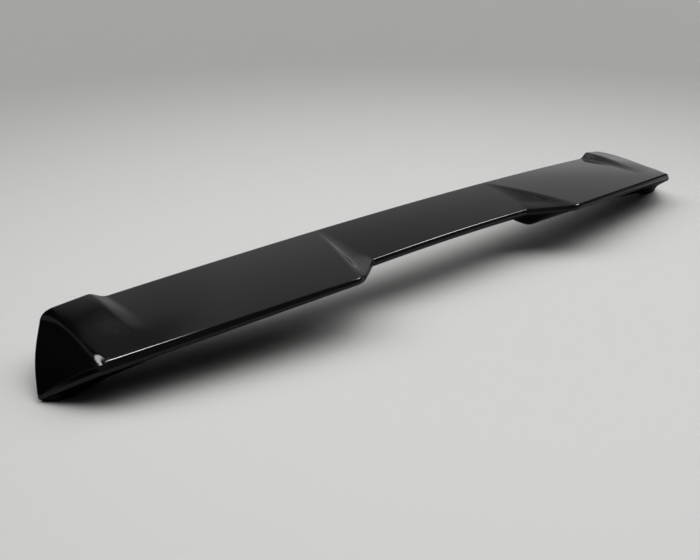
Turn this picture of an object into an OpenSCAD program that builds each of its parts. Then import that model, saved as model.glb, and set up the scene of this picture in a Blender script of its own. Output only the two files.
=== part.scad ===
// Roof spoiler: one hollow-moulded body, lofted through rings that run from the middle of the car outwards.
// X runs across the car, +Y towards the front of the car and +Z up. The feet stand on Z = 0.
// Each ring starts at the leading edge, crosses the top skin to the trailing edge, rounds the lip,
// returns along the rear underside to the keel, and climbs the contact face back to the leading edge.

/* [Span] */
// Distance from the middle to the top outer corner
half_span = 567; // [480:5:640]
// How far the turned-down end runs out past the top corner
end_flare = 57; // [30:1:70]

/* [Leading edge] */
// Height of the leading edge at the middle
lead_z = 91; // [80:1:100]
// How far the leading edge's ends drop below its middle
lead_crown = 34; // [20:1:50]
// Distance of the leading edge in front of the top outer corner's line, at the middle
lead_y = 104; // [90:1:130]
// How far the leading edge's ends run forward of its middle
lead_bow = 48; // [20:1:70]
// Radius of the leading edge
lead_round = 2; // [1:0.1:3]

/* [Trailing edge of the wings] */
// Height of the wings' trailing edge, carried to the middle
wing_z = 84; // [75:1:95]
// How far the trailing edge's ends drop below that
wing_crown = 29; // [15:1:40]
// How far the wings' trailing edge bows back at the middle
wing_bow = 55; // [20:1:70]

/* [Centre section] */
// Height of the centre section's trailing edge at the middle
centre_z = 76.5; // [70:1:88]
// Crown of the centre section's trailing edge, as if it ran the whole span
centre_crown = 49; // [20:1:60]
// Set-back of the centre section's trailing edge behind the top outer corner's line
centre_y = 0; // [-15:1:15]
// Bow of the centre section's trailing edge, as if it ran the whole span
centre_bow = 39; // [0:1:60]
// Distance from the middle to the centre section's outer corner
notch_in = 164; // [130:1:190]
// Distance from the middle to the wing's inner corner
notch_out = 224; // [200:1:260]
// Half length over which the centre section's corner is rounded
notch_round_in = 4; // [2:0.5:10]
// Half length over which the wing's inner corner is rounded
notch_round_out = 9; // [4:0.5:14]
// Share of the chord over which the step turns from a straight face at the edge into a sweep
notch_run = 0.2; // [0.05:0.05:0.5]
// Distance from the middle to the front end of the step's crease
crease_x = 176; // [150:1:200]
// Width of the step at its front end
crease_w = 10; // [6:1:20]

/* [Top skin] */
// Rise of the top skin's middle above a straight chord
camber = 3; // [0:0.5:6]
// Height of the raised end at the leading edge
fence_h = 10; // [0:0.5:14]
// Distance from the middle to the foot of the raised end's inner slope
fence_x = 494; // [440:1:510]
// Width of that slope
fence_w = 17; // [12:1:30]
// Half length over which the slope's foot is rounded
fence_foot = 6; // [1:0.5:8]
// Half length over which its crest is rounded
fence_crest = 3; // [1:0.5:5]
// How far the raised end drops again towards its outer corner
fence_fall = 3; // [0:0.5:6]
// Share of the chord over which the raised end fades out
fence_run = 0.85; // [0.5:0.05:1]

/* [Turned-down end] */
// How far the leading edge's corner lies outside the trailing edge's
lead_reach = 6; // [0:0.5:10]
// Distance over which the skin turns down at the leading edge
shoulder_front = 16; // [8:1:20]
// Distance over which the skin turns down at the trailing edge
shoulder_rear = 6; // [3:0.5:10]
// How much tighter the skin turns halfway along the chord than between those two
shoulder_tight = 0.5; // [0:0.05:0.6]
// Distance of the foot's corner in front of the top outer corner
foot_y = 58; // [40:1:70]
// Swell of the end face's front edge
end_swell = 4; // [0:0.5:6]
// Radius of the foot's outer corner
foot_round = 6; // [4:0.5:9]

/* [Lip] */
// Radius of the lip's top edge at the wing's outer end
edge_outer = 3.6; // [1.5:0.1:4]
// Radius of that edge at the step and on the centre section
edge_inner = 1.8; // [1:0.1:2.5]
// Radius of that edge at the foot
edge_foot = 1.2; // [0.8:0.1:2]
// Height of the lip's face at the wing's outer end
lip_outer = 5.6; // [3:0.1:9]
// Height of the lip's face at the wing's inner end
lip_inner = 3.3; // [1:0.1:5]
// Height of the lip's face on the centre section
lip_centre = 3.4; // [1:0.1:6]
// Height of the lip's face at the foot
lip_foot = 0.5; // [0.2:0.1:2]
// Radius of the lip's nose at the wing's outer end
nose_outer = 6.5; // [4:0.1:7]
// Radius of the lip's nose at the wing's inner end
nose_inner = 5; // [3:0.1:6]
// Radius of the lip's nose on the centre section
nose_centre = 6.1; // [3:0.1:6.5]
// Radius of the nose at the foot
nose_foot = 5; // [2:0.1:5.5]
// How much higher the lip's face grows halfway down the end
lip_swell = 3; // [0:0.5:4]
// Lean of the lip's face back from upright
lip_lean = 20; // [10:1:30]
// How far the nose turns under, past level
lip_under = 62; // [45:1:75]

/* [Keel and contact face] */
// Height of the keel under the wings, carried to the middle
keel_crown = 30; // [24:1:36]
// How late the keel falls towards the feet, as a power of the span
keel_power = 3.5; // [2:0.1:5]
// Distance of the keel in front of the top outer corner's line, at the feet
keel_y = 51; // [44:1:60]
// Distance the keel bows back at the middle
keel_bow = 22; // [10:1:40]
// Length of the flat that each foot stands on
foot_l = 24; // [16:1:36]
// Width of that flat
foot_w = 24; // [16:1:30]
// Width of the keel's flat
keel_w = 14; // [8:1:20]
// Height of the underside below the centre section
centre_under = 50; // [44:1:58]
// Distance of that underside's edge in front of the top outer corner's line
centre_under_y = 50; // [30:1:60]
// Distance from the middle to where the keel starts down
keel_in = 165; // [150:1:185]
// Length over which the keel comes down
keel_drop = 34; // [24:1:50]
// Hollow of the rear underside
under_hollow = 5; // [0:0.5:8]

/* [Bonding lands] */
// Length of each land for adhesive tape
land_l = 90; // [60:5:120]
// Width of each land
land_w = 20; // [14:1:26]
// Depth of each land below the contact face
land_d = 1; // [0.5:0.1:1.5]
// Distances of the lands from the middle
land_x = [290, 430]; // [260:5:460]

/* [Hidden] */

// Steps along the half span, and points round each ring
n_centre = 9;
n_notch = 16;
n_wing = 16;
n_fence = 8;
n_outer = 4;
n_turn = 6;
n_face = 8;
n_tip = 3;
n_top = 13;
n_edge = 3;
n_nose = 5;
n_under = 5;
n_contact = 5;
n_lead = 3;

// How far the closely spaced rings reach past the raised end's slope, and inside the notch
fence_margin = 6;
notch_margin = 6;
// Height of the block that cuts a land
land_cut = 12;
// Half width of the foot's flat at its outer tip, and how late it narrows to that
foot_tip_half = 3;
foot_taper = 6;
// Angle at which the leading edge's rounding reaches the last point of a ring
lead_stop = 30;
up = [0, 0, 1];
lead_span = half_span + lead_reach;
foot_x = half_span + end_flare;
foot = [foot_x, foot_y, lip_drop(edge_foot, lip_foot, nose_foot)];

function mix(a, b, t) = a + (b - a) * t;
function unit(v) = v / norm(v);
function clamp01(t) = min(max(t, 0), 1);
function ease(t) = let (u = clamp01(t)) u * u * (3 - 2 * u);
// Share of the half span, squared: every crown and bow is a parabola in it
function span2(x) = pow(x / half_span, 2);
// A ramp from 0 at a to 1 at b, straight between corners rounded by wa and wb on each side
function soft(d, w) = d <= -w ? 0 : d >= w ? d : pow(d + w, 2) / (4 * w);
function ramp(x, a, b, wa, wb) = (soft(x - a, wa) - soft(x - b, wb)) / (b - a);
// Points from a towards b, without b
function steps(a, b, n) = [for (i = [0:n - 1]) mix(a, b, i / n)];
// A rounded corner at c, from a to b
function corner(a, c, b, t) = mix(mix(a, c, t), mix(c, b, t), t);

// Rails of the main span
function lead_at(x) = [x, lead_y + lead_bow * span2(x), lead_z - lead_crown * span2(x)];
function wing_at(x) = [x, wing_bow * (span2(x) - 1), wing_z - wing_crown * span2(x)];
function centre_at(x) = [x, centre_y + centre_bow * span2(x), centre_z - centre_crown * span2(x)];
// Share of the wing in the trailing edge at x: a straight step at the edge itself, and a sweep that
// rises from the centre section to a ridge along the wing further up the skin
notch_w = notch_out - notch_in;
function step_sweep(t) = 1 - soft(1 - t * t, 2 * notch_round_out / notch_w);
function in_wing(x, sweep = 0) = mix(
    ramp(x, notch_in, notch_out, notch_round_in, notch_round_out),
    step_sweep(max(x - notch_in, 0) / notch_w),
    sweep);
function trail_at(x, sweep = 0) = mix(centre_at(x), wing_at(x), in_wing(x, sweep));

// Where the rings meet the leading edge and the trailing edge: the two lists match one to one
fence_in = fence_x - fence_margin;
fence_out = fence_x + fence_w + fence_margin;
lead_last = lead_span - shoulder_front;
trail_last = half_span - shoulder_rear;
lead_xs = concat(
    steps(0, crease_x - crease_w / 2, n_centre),
    steps(crease_x - crease_w / 2, crease_x + crease_w / 2, n_notch),
    steps(crease_x + crease_w / 2, fence_in, n_wing),
    steps(fence_in, fence_out, n_fence),
    steps(fence_out, lead_last, n_outer),
    [lead_last]);
trail_xs = concat(
    steps(0, notch_in - notch_margin, n_centre),
    steps(notch_in - notch_margin, notch_out + notch_round_out, n_notch),
    steps(notch_out + notch_round_out, fence_in, n_wing),
    steps(fence_in, fence_out, n_fence),
    steps(fence_out, trail_last, n_outer),
    [trail_last]);
n_main = len(lead_xs);

// Raised end, given where a ring crosses the leading edge and how far along the chord
function fence_at(x, v) = (fence_h * ramp(x, fence_x, fence_x + fence_w, fence_foot, fence_crest)
    - fence_fall * clamp01((x - fence_out) / (lead_span - fence_out))) * (1 - ease(v / fence_run));

// The end face's corners: its top ones, where the skin has turned down, and the rounded foot
function lead_raised(x) = lead_at(x) + [0, 0, fence_at(x, 0)];
function from_to(c, to, d) = c + unit(to - c) * d;
lead_corner = lead_raised(lead_span);
trail_corner = trail_at(half_span);
lead_turn = from_to(lead_corner, foot, shoulder_front);
trail_turn = from_to(trail_corner, foot, shoulder_rear);
lead_tip = from_to(foot, lead_corner, foot_round);
trail_tip = from_to(foot, trail_corner, foot_round);
foot_tip = (lead_tip + 2 * foot + trail_tip) / 4;

// Each ring starts from a leading point, a trailing point and its share of the way down the end
turn_share = 0.1;
tip_share = 0.9;
tip_run = 0.85;
function turn_ends(t) = [
    corner(lead_raised(lead_last), lead_corner, lead_turn, t),
    corner(trail_at(trail_last), trail_corner, trail_turn, t),
    turn_share * t];
function face_ends(t) = [
    mix(lead_turn, lead_tip, t) + [end_swell * sin(180 * t), 0, 0],
    mix(trail_turn, trail_tip, t) + up * lip_swell * sin(180 * t),
    mix(turn_share, tip_share, t)];
function tip_ends(t) = [
    corner(lead_tip, (lead_tip + foot) / 2, foot_tip, t),
    corner(trail_tip, (trail_tip + foot) / 2, foot_tip, t),
    mix(tip_share, 1, t)];
ends = concat(
    [for (i = [0:n_main - 1]) [lead_raised(lead_xs[i]), trail_at(trail_xs[i]), 0]],
    [for (k = [1:n_turn]) turn_ends(k / n_turn)],
    [for (k = [1:n_face]) face_ends(k / n_face)],
    [for (k = [1:n_tip]) tip_ends(tip_run * k / n_tip)]);
n_rings = len(ends);

// Edge radius, face height and nose radius of the lip round the span: it runs on down the end
outer_lip = [edge_outer, lip_outer, nose_outer];
function wing_lip(t) = [
    mix(edge_inner, edge_outer, t * t),
    mix(lip_inner, lip_outer, t),
    mix(nose_inner, nose_outer, t)];
function down_face(share) = clamp01((share - turn_share) / (tip_share - turn_share));
function lip_at(i) = i < n_main
    ? let (x = trail_xs[i])
        mix([edge_inner, lip_centre, nose_centre],
            wing_lip(clamp01((x - notch_out) / (half_span - notch_out))),
            in_wing(x))
    : mix(outer_lip, [edge_foot, lip_foot, nose_foot], ends[i][2])
        + [0, lip_swell * sin(180 * down_face(ends[i][2])), 0];
// How far the lip reaches below its edge
function lip_drop(edge, face, nose) = edge * (1 - sin(lip_lean)) + face * cos(lip_lean)
    + nose * (sin(lip_lean) + sin(lip_under));

// The keel: its middle line, and half the width of its flat
function keel_in_wing(x) = [
    x,
    keel_y - keel_bow * (1 - span2(min(x, half_span))),
    keel_crown * (1 - pow(min(x / (foot_x - foot_l), 1), keel_power))];
function keel_under(x) = mix([x, centre_under_y, centre_under], keel_in_wing(x),
    ramp(x, keel_in, keel_in + keel_drop, keel_drop / 3, keel_drop / 3));
function keel_half(x) = mix(keel_w, foot_w, ease((x - half_span) / foot_l + 1)) / 2;
keel_turn = half_span - (shoulder_front + shoulder_rear) / 2;
// The keel under a ring, and half the width of its flat there: both narrow to the tip of the foot
function keel_ring(i) = i < n_main
    ? let (x = mix(lead_xs[i], trail_xs[i], 0.5)) [keel_under(x), keel_half(x)]
    : let (t = ends[i][2], x = mix(keel_turn, foot_x - foot_round, t), narrow = pow(t, foot_taper))
        [[x, mix(keel_y, foot_y, narrow), keel_under(x)[2]], mix(keel_half(x), foot_tip_half, narrow)];

// Parts of a ring, each a list of points
function top_rise(x, v) = 4 * camber * v * (1 - v) + fence_at(x, v) - fence_at(x, 0) * (1 - v);
function in_turn(i) = i >= n_main - 1 && i < n_main + n_turn ? 1 : 0;
function top_points(i) =
    let (x = lead_xs[min(i, n_main - 1)], fade = 1 - ease(ends[i][2] / turn_share))
    [for (k = [0:n_top - 1])
        let (
            v = k / n_top,
            middle = 4 * v * (1 - v),
            rear = i < n_main ? trail_at(trail_xs[i], ease((1 - v) / notch_run)) : ends[i][1])
        mix(mix(ends[i][0], rear, v), mix(lead_corner, trail_corner, v), in_turn(i) * shoulder_tight * middle)
            + up * fade * top_rise(x, v)];
// The lip leans back from its edge, rounds its nose and turns under
function arc_points(centre, out, r, a0, a1, n) =
    [for (k = [0:n]) let (a = mix(a0, a1, k / n)) centre + (out * cos(a) + up * sin(a)) * r];
function lip_points(i) =
    let (
        trail = ends[i][1],
        ahead = ends[min(i + 1, n_rings - 1)][1],
        behind = i == 0 ? flip_x(ends[1][1]) : ends[i - 1][1],
        out = unit(cross(ahead - behind, up)),
        lip = lip_at(i),
        edge = arc_points(trail - up * lip[0], out, lip[0], 90, lip_lean, n_edge),
        face_end = edge[n_edge] + (out * sin(lip_lean) - up * cos(lip_lean)) * lip[1],
        centre = face_end - (out * cos(lip_lean) + up * sin(lip_lean)) * lip[2])
    concat(edge, arc_points(centre, out, lip[2], lip_lean, -lip_under, n_nose));
// The underside runs forward from the lip to the keel, and the contact face climbs to the leading edge
function under_points(from, rear, depth) = [for (k = [1:n_under - 1])
    mix(from, rear, k / n_under) + up * depth * sin(180 * k / n_under)];
function ring(i) =
    let (
        lead = ends[i][0],
        lip = lip_points(i),
        keel = keel_ring(i),
        rear = keel[0] - [0, keel[1], 0],
        front = keel[0] + [0, keel[1], 0],
        under = under_points(lip[len(lip) - 1], rear, under_hollow * (1 - ends[i][2])),
        nose = arc_points(lead - up * lead_round, [0, 1, 0], lead_round, -90, lead_stop, n_lead - 1))
    concat(top_points(i), lip, under, [rear, front],
        [for (k = [1:n_contact - 1]) mix(front, nose[0], k / n_contact)], nose);
function flip_x(p) = [-p[0], p[1], p[2]];

half_rings = [for (i = [0:n_rings - 1]) ring(i)];
ring_n = len(half_rings[0]);
rings = concat(
    [for (i = [n_rings - 1 : -1 : 1]) [for (p = half_rings[i]) flip_x(p)]],
    half_rings);
body_points = [for (r = rings) for (p = r) p];
all_y = [for (p = body_points) p[1]];
mid_y = (min(all_y) + max(all_y)) / 2;

// Quads between neighbouring rings, each split in two, and a fan over each end
function quads(m, n) = [for (j = [0:m - 2]) for (i = [0:n - 1])
    let (a = j * n + i, b = j * n + (i + 1) % n, c = a + n, d = b + n)
    each [[a, d, b], [a, c, d]]];
function lid(first, n, flip) = [for (i = [1:n - 2])
    flip ? [first, first + i, first + i + 1] : [first, first + i + 1, first + i]];

module moulded_skin() {
    m = len(rings);
    polyhedron(
        points = body_points,
        faces = concat(quads(m, ring_n), lid(0, ring_n, true), lid((m - 1) * ring_n, ring_n, false)),
        convexity = 6);
}

// Shallow flat pocket for adhesive tape, cut square to the contact face at a distance x from the middle
function contact_at(x, v) = mix(keel_under(x) + [0, keel_half(x), 0], lead_at(x) - [0, 0, 2 * lead_round], v);
module tape_land(x) {
    rise = contact_at(x, 1) - contact_at(x, 0);
    fall = contact_at(x + 1, 0.5) - contact_at(x - 1, 0.5);
    translate(contact_at(x, 0.5)) rotate([atan2(rise[2], rise[1]), -atan2(fall[2], fall[0]), 0])
        translate([-land_l / 2, -land_w / 2, land_d - land_cut]) cube([land_l, land_w, land_cut]);
}

module spoiler() {
    color([0.02, 0.02, 0.022]) translate([0, -mid_y, 0]) difference() {
        moulded_skin();
        for (x = land_x) {
            tape_land(x);
            mirror([1, 0, 0]) tape_land(x);
        }
    }
}

spoiler();
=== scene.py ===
import math
import bpy
import numpy as np
from mathutils import Euler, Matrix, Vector


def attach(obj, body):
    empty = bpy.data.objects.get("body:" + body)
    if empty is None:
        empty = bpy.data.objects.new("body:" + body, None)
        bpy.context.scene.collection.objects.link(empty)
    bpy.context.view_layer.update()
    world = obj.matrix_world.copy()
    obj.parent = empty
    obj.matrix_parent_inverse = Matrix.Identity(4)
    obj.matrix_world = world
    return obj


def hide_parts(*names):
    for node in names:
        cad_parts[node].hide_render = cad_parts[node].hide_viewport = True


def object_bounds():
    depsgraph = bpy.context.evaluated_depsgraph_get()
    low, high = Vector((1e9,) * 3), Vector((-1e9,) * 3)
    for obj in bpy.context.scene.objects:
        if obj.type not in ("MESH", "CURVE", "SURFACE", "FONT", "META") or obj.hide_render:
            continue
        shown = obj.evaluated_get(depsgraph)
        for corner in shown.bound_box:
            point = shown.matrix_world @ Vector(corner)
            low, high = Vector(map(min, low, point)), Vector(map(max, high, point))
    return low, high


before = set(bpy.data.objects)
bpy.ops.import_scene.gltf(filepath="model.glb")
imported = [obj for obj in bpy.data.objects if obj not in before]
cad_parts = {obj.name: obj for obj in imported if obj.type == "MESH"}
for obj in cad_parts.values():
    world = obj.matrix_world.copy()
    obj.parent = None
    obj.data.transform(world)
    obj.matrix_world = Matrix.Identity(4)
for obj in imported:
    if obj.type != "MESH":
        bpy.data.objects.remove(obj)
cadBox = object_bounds()
print("frame loaded")

mm = 0.001
tiny = 1e-6   # millimetres that rounding may cost
up = np.array([0.0, 0.0, 1.0])
ahead = np.array([0.0, 1.0, 0.0])

# Camera: where the photograph was taken from, in the part's own frame

cameraSpot = {
    "place": (-0.92625, -0.90399, 0.5377),   # metres
    "down": 23.44,                           # degrees below level
    "turn": -40.23,                          # degrees from straight ahead
    "lens": 46.29,
    "sensor": 36.0,
    "clip": 60,
}


def makeCamera(view):
    data = bpy.data.cameras.new("studioCamera")
    data.lens = view["lens"]
    data.sensor_width = view["sensor"]
    data.clip_end = view["clip"]
    camera = bpy.data.objects.new("studioCamera", data)
    camera.location = view["place"]
    camera.rotation_euler = (math.radians(90 - view["down"]), 0, math.radians(view["turn"]))
    bpy.context.scene.collection.objects.link(camera)
    bpy.context.scene.camera = camera


makeCamera(cameraSpot)
print("camera made")

# Spoiler body: the CAD model's rails, in millimetres, with finer rings, true radii and eased outer corners

body = {
    "halfSpan": 567, "endFlare": 57,
    "leadZ": 91, "leadCrown": 34, "leadY": 104, "leadBow": 48, "leadRound": 2,
    "wingZ": 84, "wingCrown": 29, "wingBow": 55,
    "centreZ": 76.5, "centreCrown": 49, "centreY": 0, "centreBow": 39,
    "notchIn": 164, "notchOut": 224, "notchRoundIn": 4, "notchRoundOut": 9, "notchRun": 0.2,
    "creaseX": 176, "creaseW": 10,
    "camber": 3,
    "fenceH": 10, "fenceX": 494, "fenceW": 17, "fenceFoot": 6, "fenceCrest": 3,
    "fenceFall": 3, "fenceRun": 0.85, "fenceMargin": 6, "notchMargin": 6,
    "leadReach": 6, "turnFront": 16, "turnRear": 6, "turnTight": 0.5,
    "footY": 58, "endSwell": 4, "footRound": 6,
    # Edge radius, face height and nose radius of the lip
    "lipOuter": (3.6, 5.6, 6.5), "lipInner": (1.8, 3.3, 5),
    "lipCentre": (1.8, 3.4, 6.1), "lipFoot": (1.2, 0.5, 5),
    "lipSwell": 3, "lipLean": 20, "lipUnder": 62,
    "keelCrown": 30, "keelPower": 3.5, "keelY": 51, "keelBow": 22, "keelW": 14, "keelRound": 4,
    "footL": 24, "footW": 24, "footTipHalf": 3, "footTaper": 6,
    "centreUnder": 50, "centreUnderY": 50, "keelIn": 165, "keelDrop": 34, "underHollow": 5,
    "turnShare": 0.1, "tipShare": 0.9, "tipRun": 0.85,
    # Pockets for tape: length, width, depth, places along the half span, and how far out the cutter reaches
    "landL": 90, "landW": 20, "landD": 1, "landX": (290, 430), "landCut": 12, "sharpAngle": 60,
    "cornerReach": (7, 20), "cornerDrop": 1.7, "cornerSoft": 0.1,   # the lip's outer corner droops a little
    # A small step along the chord, and the most of the keel's half width or slope that its rounds take
    "chordStep": 0.02, "roundOfHalf": 0.4, "roundOfSlope": 0.3,
}
# How many rings each stretch of the half span has, and how many points each part of a ring
fine = {
    "centre": 30, "notch": 44, "wing": 44, "fence": 30, "outer": 14, "turn": 18, "face": 26, "tip": 10,
    "top": 44, "edge": 6, "lip": 4, "nose": 12, "under": 14, "keel": 4, "flat": 3, "contact": 14, "lead": 8,
    "glossUnder": 6, "glossAhead": 3,   # points of gloss past the nose, and ahead of the contact face
}


def mix(a, b, t):
    return a + (b - a) * t


def unit(v):
    return v / np.linalg.norm(v)


def clamp01(t):
    return min(max(t, 0.0), 1.0)


def ease(t):
    t = clamp01(t)
    return t * t * (3 - 2 * t)


def soft(d, w):
    return 0.0 if d <= -w else d if d >= w else (d + w) ** 2 / (4 * w)


def ramp(x, a, b, wa, wb):
    return (soft(x - a, wa) - soft(x - b, wb)) / (b - a)


def steps(a, b, n):
    return [mix(a, b, i / n) for i in range(n)]


def corner(a, c, b, t):
    return mix(mix(a, c, t), mix(c, b, t), t)


def spot(*values):
    return np.array(values, float)


def span2(x):
    return (x / body["halfSpan"]) ** 2


def leadAt(x):
    return spot(x, body["leadY"] + body["leadBow"] * span2(x), body["leadZ"] - body["leadCrown"] * span2(x))


# 0 on the centre section and 1 on the wing: a straight step at the edge, a sweep further up
def inWing(x, sweep=0):
    width = body["notchOut"] - body["notchIn"]
    along = max(x - body["notchIn"], 0) / width
    swept = 1 - soft(1 - along * along, 2 * body["notchRoundOut"] / width)
    straight = ramp(x, body["notchIn"], body["notchOut"], body["notchRoundIn"], body["notchRoundOut"])
    return mix(straight, swept, sweep)


def trailAt(x, sweep=0):
    s = span2(x)
    wing = spot(x, body["wingBow"] * (s - 1), body["wingZ"] - body["wingCrown"] * s)
    centre = spot(x, body["centreY"] + body["centreBow"] * s, body["centreZ"] - body["centreCrown"] * s)
    return mix(centre, wing, inWing(x, sweep))


def fenceAt(x, v):  # height of the raised end, a share v of the way back along the chord
    outside = body["fenceX"] + body["fenceW"] + body["fenceMargin"]
    fall = clamp01((x - outside) / (body["halfSpan"] + body["leadReach"] - outside))
    crest = body["fenceX"] + body["fenceW"]
    rise = body["fenceH"] * ramp(x, body["fenceX"], crest, body["fenceFoot"], body["fenceCrest"])
    return (rise - body["fenceFall"] * fall) * (1 - ease(v / body["fenceRun"]))


def leadRaised(x):
    return leadAt(x) + up * fenceAt(x, 0)


def lipDrop(edge, face, nose):
    lean = math.radians(body["lipLean"])
    return (edge * (1 - math.sin(lean)) + face * math.cos(lean)
            + nose * (math.sin(lean) + math.sin(math.radians(body["lipUnder"]))))


def keelAt(x):  # middle of the keel
    footStart = body["halfSpan"] + body["endFlare"] - body["footL"]
    wing = spot(x, body["keelY"] - body["keelBow"] * (1 - span2(min(x, body["halfSpan"]))),
                body["keelCrown"] * (1 - min(x / footStart, 1) ** body["keelPower"]))
    blend = body["keelDrop"] / 3
    share = ramp(x, body["keelIn"], body["keelIn"] + body["keelDrop"], blend, blend)
    return mix(spot(x, body["centreUnderY"], body["centreUnder"]), wing, share)


def keelHalf(x):
    return mix(body["keelW"], body["footW"], ease((x - body["halfSpan"]) / body["footL"] + 1)) / 2


def halfRails():
    # Leading point, trailing point and share of the way down the end, for each ring of one half
    b, f = body, fine
    leadLast = b["halfSpan"] + b["leadReach"] - b["turnFront"]
    trailLast = b["halfSpan"] - b["turnRear"]
    fenceIn = b["fenceX"] - b["fenceMargin"]
    fenceOut = b["fenceX"] + b["fenceW"] + b["fenceMargin"]
    creaseIn, creaseOut = b["creaseX"] - b["creaseW"] / 2, b["creaseX"] + b["creaseW"] / 2
    notchIn, notchOut = b["notchIn"] - b["notchMargin"], b["notchOut"] + b["notchRoundOut"]
    leadXs = (steps(0, creaseIn, f["centre"]) + steps(creaseIn, creaseOut, f["notch"])
              + steps(creaseOut, fenceIn, f["wing"]) + steps(fenceIn, fenceOut, f["fence"])
              + steps(fenceOut, leadLast, f["outer"]) + [leadLast])
    trailXs = (steps(0, notchIn, f["centre"]) + steps(notchIn, notchOut, f["notch"])
               + steps(notchOut, fenceIn, f["wing"]) + steps(fenceIn, fenceOut, f["fence"])
               + steps(fenceOut, trailLast, f["outer"]) + [trailLast])
    rails = [(leadRaised(a), trailAt(t), 0.0, a, t) for a, t in zip(leadXs, trailXs)]
    foot = spot(b["halfSpan"] + b["endFlare"], b["footY"], lipDrop(*b["lipFoot"]))
    leadCorner, trailCorner = leadRaised(b["halfSpan"] + b["leadReach"]), trailAt(b["halfSpan"])
    leadTurn = leadCorner + unit(foot - leadCorner) * b["turnFront"]
    trailTurn = trailCorner + unit(foot - trailCorner) * b["turnRear"]
    leadTip = foot + unit(leadCorner - foot) * b["footRound"]
    trailTip = foot + unit(trailCorner - foot) * b["footRound"]
    footTip = (leadTip + 2 * foot + trailTip) / 4
    for k in range(1, f["turn"] + 1):
        t = k / f["turn"]
        rails.append((corner(leadRaised(leadLast), leadCorner, leadTurn, t),
                      corner(trailAt(trailLast), trailCorner, trailTurn, t),
                      b["turnShare"] * t, leadLast, trailLast))
    for k in range(1, f["face"] + 1):
        t = k / f["face"]
        rails.append((mix(leadTurn, leadTip, t) + spot(b["endSwell"] * math.sin(math.pi * t), 0, 0),
                      mix(trailTurn, trailTip, t) + up * b["lipSwell"] * math.sin(math.pi * t),
                      mix(b["turnShare"], b["tipShare"], t), leadLast, trailLast))
    for k in range(1, f["tip"] + 1):
        t = b["tipRun"] * k / f["tip"]
        rails.append((corner(leadTip, (leadTip + foot) / 2, footTip, t),
                      corner(trailTip, (trailTip + foot) / 2, footTip, t),
                      mix(b["tipShare"], 1, t), leadLast, trailLast))
    return rails


def arc(centre, out, radius, start, end, n):
    angles = [mix(start, end, k / n) for k in range(n + 1)]
    return [centre + (out * math.cos(a) + up * math.sin(a)) * radius for a in angles]


def lipSize(share, trailX):  # edge radius, height of the face and radius of the nose
    outer, inner, centre, foot = (spot(*body[k]) for k in ("lipOuter", "lipInner", "lipCentre", "lipFoot"))
    if share > 0:
        down = clamp01((share - body["turnShare"]) / (body["tipShare"] - body["turnShare"]))
        return mix(outer, foot, share) + spot(0, body["lipSwell"] * math.sin(math.pi * down), 0)
    along = clamp01((trailX - body["notchOut"]) / (body["halfSpan"] - body["notchOut"]))
    wing = mix(inner, outer, along)
    wing[0] = mix(inner[0], outer[0], along * along)
    return mix(centre, wing, inWing(trailX))


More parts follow.
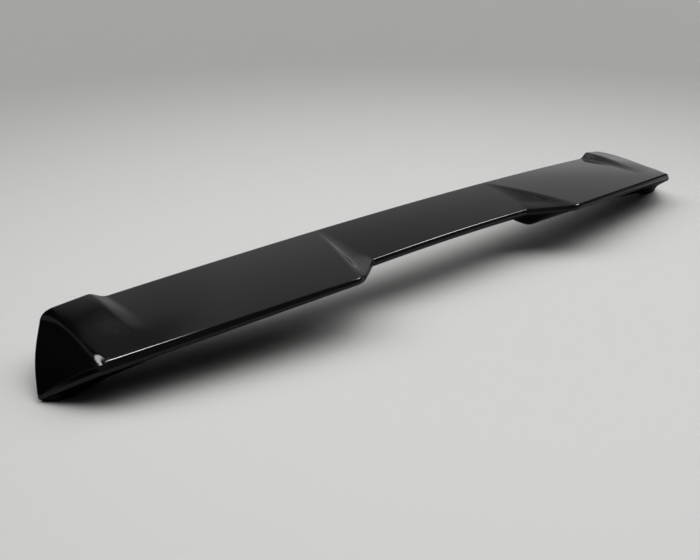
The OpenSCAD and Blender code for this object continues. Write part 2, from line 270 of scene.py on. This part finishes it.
def makeRing(rails, i):
    b, f = body, fine
    lead, trail, share, leadX, trailX = rails[i]
    nextLead, nextTrail = rails[min(i + 1, len(rails) - 1)][:2]
    if i == 0:
        lastLead, lastTrail = rails[1][0] * [-1, 1, 1], rails[1][1] * [-1, 1, 1]
    else:
        lastLead, lastTrail = rails[i - 1][:2]
    alongLead, alongTrail = nextLead - lastLead, nextTrail - lastTrail
    out = unit(np.cross(alongTrail, up))
    lean = math.radians(b["lipLean"])
    radius, face, nose = lipSize(share, trailX)
    chord = trail - lead
    fade = 1 - ease(share / b["turnShare"])

    def rise(v):
        return up * fade * (4 * b["camber"] * v * (1 - v) + fenceAt(leadX, v) - fenceAt(leadX, 0) * (1 - v))

    # The arcs at both edges start where they lie level with the top skin
    step = b["chordStep"]
    faceRear = np.cross(chord * step - rise(1 - step), alongTrail)
    faceFront = np.cross(chord * step + rise(step), alongLead)
    if faceRear[2] < 0:
        faceRear, faceFront = -faceRear, -faceFront
    edgeStart = math.atan2(faceRear @ up, faceRear @ out)
    noseStart = math.atan2(faceFront @ up, faceFront @ ahead)
    edge = arc(trail - up * radius, out, radius, edgeStart, lean, f["edge"])
    frontCentre = lead - up * b["leadRound"]
    first = arc(frontCentre, ahead, b["leadRound"], noseStart, noseStart, 1)[0]

    turning = share <= b["turnShare"] and trailX >= b["halfSpan"] - b["turnRear"] - tiny
    cornerLead, cornerTrail = leadRaised(b["halfSpan"] + b["leadReach"]), trailAt(b["halfSpan"])

    def topSpot(v):
        rear, middle = edge[0], 4 * v * (1 - v)
        if share == 0:
            rear = rear + trailAt(trailX, ease((1 - v) / b["notchRun"])) - trail
        place = mix(first, rear, v)
        if turning:
            place = mix(place, mix(cornerLead, cornerTrail, v), b["turnTight"] * middle)
        return place + rise(v)

    top = [topSpot(k / f["top"]) for k in range(f["top"])]
    faceEnd = edge[-1] + (out * math.sin(lean) - up * math.cos(lean)) * face
    lip = [mix(edge[-1], faceEnd, k / f["lip"]) for k in range(1, f["lip"])]
    noseCentre = faceEnd - (out * math.cos(lean) + up * math.sin(lean)) * nose
    noseArc = arc(noseCentre, out, nose, lean, -math.radians(b["lipUnder"]), f["nose"])
    # The keel, which narrows to the foot
    if share == 0:
        x = (leadX + trailX) / 2
        keel, half = keelAt(x), keelHalf(x)
    else:
        x = mix(b["halfSpan"] - (b["turnFront"] + b["turnRear"]) / 2,
                b["halfSpan"] + b["endFlare"] - b["footRound"], share)
        narrow = share ** b["footTaper"]
        keel, half = keelAt(x), mix(keelHalf(x), b["footTipHalf"], narrow)
        keel[1] = mix(b["keelY"], b["footY"], narrow)
    rear, front = keel - ahead * half, keel + ahead * half
    depth = b["underHollow"] * (1 - share)
    start = noseArc[-1]

    def under(v):
        return mix(start, rear, v) + up * depth * math.sin(math.pi * v)

    toKeel = front - frontCentre
    slope = math.atan2(toKeel[2], toKeel[1]) + math.pi / 2
    noseEnd = (slope + math.pi) % (2 * math.pi) - math.pi
    leadArc = arc(frontCentre, ahead, b["leadRound"], noseEnd, noseStart, f["lead"])
    slopeLength = np.linalg.norm(rear - start)
    rearRound = min(b["keelRound"], b["roundOfHalf"] * half, b["roundOfSlope"] * slopeLength)
    frontRound = min(b["keelRound"], b["roundOfHalf"] * half)
    underEnd = 1 - rearRound / slopeLength
    rearIn, rearOut = under(underEnd), rear + ahead * rearRound
    frontIn, frontOut = front - ahead * frontRound, front + unit(leadArc[0] - front) * frontRound
    underPoints = [under(v) for v in np.linspace(0, underEnd, f["under"] + 1)[1:-1]]
    rearPoints = [corner(rearIn, rear, rearOut, k / f["keel"]) for k in range(f["keel"] + 1)]
    frontPoints = [corner(frontIn, front, frontOut, k / f["keel"]) for k in range(f["keel"] + 1)]
    flat = [mix(rearPoints[-1], frontPoints[0], k / f["flat"]) for k in range(1, f["flat"])]
    contact = [mix(frontOut, leadArc[0], k / f["contact"]) for k in range(1, f["contact"])]
    below = underPoints + rearPoints + flat + frontPoints + contact
    return np.array(top + edge + lip + noseArc + below + leadArc[:-1])


def makeBody():
    rails = halfRails()
    half = [makeRing(rails, i) for i in range(len(rails))]
    rings = [r * [-1, 1, 1] for r in half[:0:-1]] + half
    n, m = len(rings[0]), len(rings)
    points = np.concatenate(rings)
    # The skin droops at the lip's outer corners, down to the foot of the lip's face
    lipStart = fine["top"] + fine["edge"]
    drooping = np.tile(np.interp(np.arange(n), (lipStart, lipStart + fine["lip"]), (1, 0)), m)
    fromCorner = np.abs(points[:, :2]) - np.abs(trailAt(body["halfSpan"])[:2])
    away = np.linalg.norm(fromCorner / body["cornerReach"], axis=1)
    points[:, 2] -= body["cornerDrop"] * drooping * [soft(1 - a, body["cornerSoft"]) for a in away]
    # The true radii reach a hair past the CAD's facets, so the skin is eased back into its box
    low, high = points.min(axis=0), points.max(axis=0)
    cadLow, cadHigh = np.array(cadBox[0]), np.array(cadBox[1])

    def seat(place):
        return cadLow + (place - low) / (high - low) * (cadHigh - cadLow)

    points = seat(points)
    faces = []
    for j in range(m - 1):
        for i in range(n):
            a, c = j * n + i, j * n + (i + 1) % n
            faces.append((a, c, c + n, a + n))
    faces.append(tuple(range(n - 1, -1, -1)))
    faces.append(tuple(range((m - 1) * n, m * n)))
    mesh = bpy.data.meshes.new("spoilerSkin")
    mesh.from_pydata(points.tolist(), [], faces)
    mesh.update()
    mesh.shade_smooth()
    # Gloss reaches from the front edge over the top and the lip, and a little way underneath
    sprayed = mesh.attributes.new("sprayed", "FLOAT", "POINT")
    underStart = fine["top"] + fine["edge"] + fine["lip"] + fine["nose"] + fine["glossUnder"]
    underEnd = n - fine["lead"] - fine["glossAhead"]
    share = [0.0 if underStart <= i <= underEnd else 1.0 for i in range(n)]
    sprayed.data.foreach_set("value", share * m)
    skin = bpy.data.objects.new("spoilerSkin", mesh)
    bpy.context.scene.collection.objects.link(skin)
    print("body rings", m, "points", len(points))
    return skin, seat


def contactAt(x, v):  # on the face that meets the car, a share v of the way forward
    return mix(keelAt(x) + ahead * keelHalf(x), leadAt(x) - up * 2 * body["leadRound"], v)


def cutLands(skin, seat):  # shallow flat pockets for adhesive tape, square to the contact face
    long, wide, low = body["landL"] / 2, body["landW"] / 2, body["landD"] - body["landCut"]
    box = [Vector((a, b, c)) * mm for c in (low, body["landD"]) for b in (-wide, wide) for a in (-long, long)]
    sides = ((0, 2, 3, 1), (4, 5, 7, 6), (0, 1, 5, 4), (2, 6, 7, 3), (0, 4, 6, 2), (1, 3, 7, 5))
    points, faces = [], []
    for side in (-1, 1):
        for x in body["landX"]:
            rise = contactAt(x, 1) - contactAt(x, 0)
            fall = contactAt(x + 1, 0.5) - contactAt(x - 1, 0.5)
            turn = Euler((math.atan2(rise[2], rise[1]), -side * math.atan2(fall[2], fall[0]), 0)).to_matrix()
            place = Vector(seat(contactAt(x, 0.5)) * (side, 1, 1))
            faces += [[len(points) + i for i in face] for face in sides]
            points += [place + turn @ p for p in box]
    mesh = bpy.data.meshes.new("landCutter")
    mesh.from_pydata(points, [], faces)
    cutter = bpy.data.objects.new("landCutter", mesh)
    bpy.context.scene.collection.objects.link(cutter)
    cut = skin.modifiers.new("lands", "BOOLEAN")
    cut.object = cutter
    cut.solver = "EXACT"
    done = bpy.data.meshes.new_from_object(skin.evaluated_get(bpy.context.evaluated_depsgraph_get()))
    skin.modifiers.clear()
    skin.data = done
    bpy.data.objects.remove(cutter)
    done.set_sharp_from_angle(angle=math.radians(body["sharpAngle"]))
    print("lands cut, faces", len(done.polygons))


skin, seat = makeBody()
cutLands(skin, seat)
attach(skin, "root")
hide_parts("spoiler")
print("body made")

# Paint: its shared effects are node groups, and the shader itself stays in the material

paint = {
    "black": (0.0011, 0.0011, 0.0012, 1), "dust": (0.03, 0.03, 0.029, 1), "ior": 1.5,
    "roughness": 0.05, "underRoughness": 0.22, "wipedRoughness": 0.05, "scratchRoughness": 0.2,
    "peelSize": 260.0, "peelDepth": 0.012, "peelStrength": 0.25, "peelDetail": 2, "peelGrit": 0.45,
    "scratchSize": 90.0, "scratchShare": 0.25, "scratchWidth": 0.006, "scratchDetail": 3,
    "scratchTurns": ((0.35, 14), (-0.6, 10), (1.3, 12)),   # turn in radians, how many times longer than wide
    "dustAmount": 0.5, "cloudSize": 9, "cloudDetail": 5,
    "speckSize": 900, "speckDetail": 2, "speckFrom": 0.62, "speckGain": 6.0,
}


def newGroup(name, inputs, outputs):
    group = bpy.data.node_groups.new(name, "ShaderNodeTree")
    for socket, kind, value in inputs:
        made = group.interface.new_socket(socket, in_out="INPUT", socket_type=kind)
        made.default_value = value
    for socket, kind in outputs:
        group.interface.new_socket(socket, in_out="OUTPUT", socket_type=kind)
    return group, group.nodes.new("NodeGroupInput"), group.nodes.new("NodeGroupOutput")


def makeMaths(nodes, links, operation, first, second=None, third=None, clamp=False):
    node = nodes.new("ShaderNodeMath")
    node.operation = operation
    node.use_clamp = clamp
    for socket, value in zip(node.inputs, (first, second, third)):
        if value is None:
            continue
        if isinstance(value, (int, float)):
            socket.default_value = value
        else:
            links.new(value, socket)
    return node.outputs[0]


def makePeelGroup():  # height of the slow waves that sprayed lacquer dries with
    group, source, result = newGroup(
        "lacquerWaves", [("Size", "NodeSocketFloat", paint["peelSize"])], [("Height", "NodeSocketFloat")])
    nodes, links = group.nodes, group.links
    where = nodes.new("ShaderNodeTexCoord")
    wave = nodes.new("ShaderNodeTexNoise")
    wave.inputs["Detail"].default_value = paint["peelDetail"]
    wave.inputs["Roughness"].default_value = paint["peelGrit"]
    links.new(where.outputs["Object"], wave.inputs["Vector"])
    links.new(source.outputs["Size"], wave.inputs["Scale"])
    links.new(wave.outputs["Fac"], result.inputs["Height"])
    return group


def makeScratchGroup():  # hair scratches from polishing and wiping, 1 where a scratch lies
    inputs = [("Size", "NodeSocketFloat", paint["scratchSize"]),
              ("Share", "NodeSocketFloat", paint["scratchShare"])]
    group, source, result = newGroup("wipingScratches", inputs, [("Mask", "NodeSocketFloat")])
    nodes, links = group.nodes, group.links
    where = nodes.new("ShaderNodeTexCoord")
    masks = []
    for turn, stretch in paint["scratchTurns"]:
        mapping = nodes.new("ShaderNodeMapping")
        mapping.inputs["Rotation"].default_value = (0, 0, turn)
        mapping.inputs["Scale"].default_value = (1, stretch, stretch)
        links.new(where.outputs["Object"], mapping.inputs["Vector"])
        line = nodes.new("ShaderNodeTexNoise")
        line.inputs["Detail"].default_value = paint["scratchDetail"]
        links.new(mapping.outputs["Vector"], line.inputs["Vector"])
        links.new(source.outputs["Size"], line.inputs["Scale"])
        offset = makeMaths(nodes, links, "SUBTRACT", line.outputs["Fac"], 0.5)
        thin = makeMaths(nodes, links, "ABSOLUTE", offset)
        masks.append(makeMaths(nodes, links, "LESS_THAN", thin, paint["scratchWidth"]))
    both = makeMaths(nodes, links, "MAXIMUM", masks[0], masks[1])
    every = makeMaths(nodes, links, "MAXIMUM", both, masks[2])
    links.new(makeMaths(nodes, links, "MULTIPLY", every, source.outputs["Share"]), result.inputs["Mask"])
    return group


def makeDustGroup():  # light dust and dried wipe marks, thicker in broad patches
    group, source, result = newGroup("studioDust", [("Amount", "NodeSocketFloat", paint["dustAmount"])],
                                     [("Mask", "NodeSocketFloat"), ("Cloud", "NodeSocketFloat")])
    nodes, links = group.nodes, group.links
    where = nodes.new("ShaderNodeTexCoord")
    cloud = nodes.new("ShaderNodeTexNoise")
    cloud.inputs["Scale"].default_value = paint["cloudSize"]
    cloud.inputs["Detail"].default_value = paint["cloudDetail"]
    speck = nodes.new("ShaderNodeTexNoise")
    speck.inputs["Scale"].default_value = paint["speckSize"]
    speck.inputs["Detail"].default_value = paint["speckDetail"]
    for node in (cloud, speck):
        links.new(where.outputs["Object"], node.inputs["Vector"])
    high = makeMaths(nodes, links, "SUBTRACT", speck.outputs["Fac"], paint["speckFrom"])
    grain = makeMaths(nodes, links, "MULTIPLY", high, paint["speckGain"], clamp=True)
    patch = makeMaths(nodes, links, "MULTIPLY", grain, cloud.outputs["Fac"])
    links.new(makeMaths(nodes, links, "MULTIPLY", patch, source.outputs["Amount"]), result.inputs["Mask"])
    links.new(cloud.outputs["Fac"], result.inputs["Cloud"])
    return group


def addGroup(nodes, group, **values):
    node = nodes.new("ShaderNodeGroup")
    node.node_tree = group
    for name, value in values.items():
        node.inputs[name].default_value = value
    return node


def makePaint(p):
    material = bpy.data.materials.new("glossBlackPaint")
    material.use_nodes = True
    nodes, links = material.node_tree.nodes, material.node_tree.links
    shader = nodes["Principled BSDF"]
    shader.inputs["IOR"].default_value = p["ior"]
    waves = addGroup(nodes, makePeelGroup(), Size=p["peelSize"])
    scratches = addGroup(nodes, makeScratchGroup(), Size=p["scratchSize"], Share=p["scratchShare"])
    dust = addGroup(nodes, makeDustGroup(), Amount=p["dustAmount"])
    cover = nodes.new("ShaderNodeAttribute")
    cover.attribute_name = "sprayed"
    bump = nodes.new("ShaderNodeBump")
    bump.inputs["Strength"].default_value = p["peelStrength"]
    bump.inputs["Distance"].default_value = p["peelDepth"] * mm
    links.new(waves.outputs["Height"], bump.inputs["Height"])
    links.new(bump.outputs["Normal"], shader.inputs["Normal"])
    colour = nodes.new("ShaderNodeMix")
    colour.data_type = "RGBA"
    colour.inputs["A"].default_value = p["black"]
    colour.inputs["B"].default_value = p["dust"]
    links.new(dust.outputs["Mask"], colour.inputs["Factor"])
    links.new(colour.outputs["Result"], shader.inputs["Base Color"])
    # Glossy skin is smooth, and the side that faces the car is duller
    base = nodes.new("ShaderNodeMix")
    base.inputs["A"].default_value = p["underRoughness"]
    base.inputs["B"].default_value = p["roughness"]
    links.new(cover.outputs["Fac"], base.inputs["Factor"])
    wiped = makeMaths(nodes, links, "MULTIPLY", dust.outputs["Cloud"], p["wipedRoughness"])
    scored = makeMaths(nodes, links, "MULTIPLY", scratches.outputs["Mask"], p["scratchRoughness"])
    rough = makeMaths(nodes, links, "ADD", base.outputs["Result"], wiped)
    rough = makeMaths(nodes, links, "ADD", rough, scored)
    links.new(rough, shader.inputs["Roughness"])
    return material


skin.data.materials.append(makePaint(paint))
print("paint made")

# Studio: a pale floor that keeps the shadow, soft light from above and behind, and what the gloss mirrors

studio = {
    "floorColour": (0.74, 0.735, 0.725, 1), "floorReach": 12.0, "floorRoughness": 0.7, "floorGloss": 0.1,
    # Painted light: a pool of light is painted into the floor's colour, which dims away from the part: from
    # and to are metres from the middle of the pool
    "paintedPoolCentre": (-0.034, -0.145), "paintedPoolFrom": 0.29, "paintedPoolTo": 2.06, "paintedPoolEdge": 0.553,
    # Painted shade in the mirrored floor: its level as the gloss sees it, where along X it dips and to what
    # level, and where it is full again
    "shadedMirroredFloor": 0.42, "mirroredShadeDip": (0.45, 0.55, 0.1), "mirroredFar": (0.69, 0.77),
    "cameraGrey": 0.4, "mirrorDark": 0.008,
}
# Large soft lights that the gloss doesn't show: bearing, height, inner and outer angle in degrees, strength
skyLights = (
    {"bearing": -3, "height": 49, "inner": 13, "outer": 38, "strength": 2.0},
    {"bearing": 124, "height": 49, "inner": 8, "outer": 29, "strength": 2.0},
    {"bearing": 60, "height": 79, "inner": 13, "outer": 39, "strength": 1.5},
)
# Walls and softboxes that only the gloss shows: bearings, heights and soft edges in degrees, and their level
walls = (
    {"turn": (12, 65), "rise": (-20, 90), "soft": (4, 4), "level": 0.225},
    {"turn": (8, 77), "rise": (-20, 90), "soft": (3, 4), "level": 0.115},
    {"turn": (65.5, 78.5), "rise": (-20, 36), "soft": (3.5, 8), "level": 0.14},
    {"turn": (5, 46), "rise": (-20, 9), "soft": (5, 6), "level": 0.1},
    {"turn": (10, 30), "rise": (-20, 8), "soft": (2, 4), "level": 0.22},
    {"turn": (100, 113), "rise": (-20, 66), "soft": (3, 12), "level": 0.12},
    {"turn": (150, 345), "rise": (-20, 3), "soft": (8, 4), "level": 0.2},
    {"turn": (140, 248), "rise": (10, 75), "soft": (8, 6), "level": 0.12},
    {"turn": (-112, -20), "rise": (5, 60), "soft": (8, 6), "level": 0.08},
    {"turn": (-50, -15), "rise": (28, 48), "soft": (4, 4), "level": 20},
    {"turn": (74, 114), "rise": (48, 62), "soft": (4, 4), "level": 8},
)
# Small bright lamps that only the gloss shows
lamps = (
    {"bearing": 72, "height": 55, "inner": 3, "outer": 8, "strength": 35},
    {"bearing": 60, "height": 80, "inner": 8, "outer": 14, "strength": 0.2},
)


def smoothBetween(nodes, links, value, low, high, start, end):
    node = nodes.new("ShaderNodeMapRange")
    node.interpolation_type = "SMOOTHSTEP"
    for name, number in (("From Min", low), ("From Max", high), ("To Min", start), ("To Max", end)):
        node.inputs[name].default_value = number
    links.new(value, node.inputs["Value"])
    return node.outputs["Result"]


def vectorMaths(nodes, links, operation, first, second=None):
    node = nodes.new("ShaderNodeVectorMath")
    node.operation = operation
    links.new(first, node.inputs[0])
    if second is not None:
        node.inputs[1].default_value = second
    return node.outputs["Value" if operation in ("DOT_PRODUCT", "LENGTH") else "Vector"]


def pick(nodes, links, factor, a, b):
    node = nodes.new("ShaderNodeMix")
    for name, value in (("A", a), ("B", b)):
        if isinstance(value, (int, float)):
            node.inputs[name].default_value = value
        else:
            links.new(value, node.inputs[name])
    links.new(factor, node.inputs["Factor"])
    return node.outputs["Result"]


def makeFloor(s):
    mesh = bpy.data.meshes.new("studioFloor")
    half = s["floorReach"]
    corners = [(x * half, y * half, 0) for x, y in ((-1, -1), (1, -1), (1, 1), (-1, 1))]
    mesh.from_pydata(corners, [], [(0, 1, 2, 3)])
    floor = bpy.data.objects.new("studioFloor", mesh)
    bpy.context.scene.collection.objects.link(floor)
    material = bpy.data.materials.new("studioFloorPaper")
    material.use_nodes = True
    nodes, links = material.node_tree.nodes, material.node_tree.links
    shader = nodes["Principled BSDF"]
    shader.inputs["Roughness"].default_value = s["floorRoughness"]
    shader.inputs["Specular IOR Level"].default_value = s["floorGloss"]
    # A pool of light is painted into the floor's colour round the part, and painted shade makes the gloss see
    # the floor darker than the camera does
    where = nodes.new("ShaderNodeTexCoord").outputs["Object"]
    place = vectorMaths(nodes, links, "SUBTRACT", where, (*s["paintedPoolCentre"], 0))
    away = vectorMaths(nodes, links, "LENGTH", place)
    # Painted light: the floor's colour dims from the middle of the painted pool outwards
    level = smoothBetween(nodes, links, away, s["paintedPoolFrom"], s["paintedPoolTo"], 1, s["paintedPoolEdge"])
    # Painted shade: the gloss sees the floor darker, and darker still in a band along X at the right end
    mirrored = nodes.new("ShaderNodeLightPath").outputs["Is Glossy Ray"]
    axes = nodes.new("ShaderNodeSeparateXYZ")
    links.new(where, axes.inputs["Vector"])
    start, end, dip = s["mirroredShadeDip"]
    paintedMirrorShade = smoothBetween(nodes, links, axes.outputs["X"], start, end, s["shadedMirroredFloor"], dip)
    bright = smoothBetween(nodes, links, axes.outputs["X"], *s["mirroredFar"], 0, 1 - dip)
    seen = pick(nodes, links, mirrored, 1.0, makeMaths(nodes, links, "ADD", paintedMirrorShade, bright))
    level = makeMaths(nodes, links, "MULTIPLY", level, seen)
    colour = nodes.new("ShaderNodeMix")
    colour.data_type = "RGBA"
    colour.inputs["A"].default_value = (0, 0, 0, 1)
    colour.inputs["B"].default_value = s["floorColour"]
    links.new(level, colour.inputs["Factor"])
    links.new(colour.outputs["Result"], shader.inputs["Base Color"])
    mesh.materials.append(material)


def addPatch(nodes, links, where, total, patch):  # adds a round soft patch of light to the total
    bearing, height = math.radians(patch["bearing"]), math.radians(patch["height"])
    toward = (math.cos(bearing) * math.cos(height), math.sin(bearing) * math.cos(height), math.sin(height))
    facing = vectorMaths(nodes, links, "DOT_PRODUCT", where, toward)
    glow = smoothBetween(nodes, links, facing, math.cos(math.radians(patch["outer"])),
                         math.cos(math.radians(patch["inner"])), 0, patch["strength"])
    return makeMaths(nodes, links, "ADD", glow, total)


def makeWorld(s):
    world = bpy.data.worlds.new("studioWorld")
    bpy.context.scene.world = world
    world.use_nodes = True
    nodes, links = world.node_tree.nodes, world.node_tree.links
    back = nodes["Background"]
    back.inputs["Color"].default_value = (1, 1, 1, 1)
    where = nodes.new("ShaderNodeTexCoord").outputs["Generated"]
    light = 0.0
    for patch in skyLights:
        light = addPatch(nodes, links, where, light, patch)
    # What the gloss shows: a dark studio, its pale walls and the lamps
    axes = nodes.new("ShaderNodeSeparateXYZ")
    links.new(where, axes.inputs["Vector"])
    bearing = makeMaths(nodes, links, "ARCTAN2", axes.outputs["Y"], axes.outputs["X"])
    rise = makeMaths(nodes, links, "ARCSINE", axes.outputs["Z"])
    mirror = s["mirrorDark"]
    for wall in walls:
        (left, right), (low, high), (sideSoft, endSoft) = (
            [math.radians(v) for v in wall[k]] for k in ("turn", "rise", "soft"))
        off = makeMaths(nodes, links, "SUBTRACT", bearing, (left + right) / 2)
        off = makeMaths(nodes, links, "WRAP", off, math.pi, third=-math.pi)
        off = makeMaths(nodes, links, "ABSOLUTE", off)
        half = (right - left) / 2
        across = smoothBetween(nodes, links, off, half - sideSoft, half + sideSoft, wall["level"], 0)
        away = makeMaths(nodes, links, "SUBTRACT", rise, (low + high) / 2)
        away = makeMaths(nodes, links, "ABSOLUTE", away)
        half = (high - low) / 2
        upright = smoothBetween(nodes, links, away, half - endSoft / 2, half + endSoft / 2, 1, 0)
        shown = makeMaths(nodes, links, "MULTIPLY", across, upright)
        mirror = makeMaths(nodes, links, "ADD", shown, mirror)
    for lamp in lamps:
        mirror = addPatch(nodes, links, where, mirror, lamp)
    path = nodes.new("ShaderNodeLightPath")
    shown = pick(nodes, links, path.outputs["Is Glossy Ray"], light, mirror)
    shown = pick(nodes, links, path.outputs["Is Camera Ray"], shown, s["cameraGrey"])
    links.new(shown, back.inputs["Strength"])


makeFloor(studio)
makeWorld(studio)
bpy.context.scene.view_settings.view_transform = "Standard"
print("studio made")
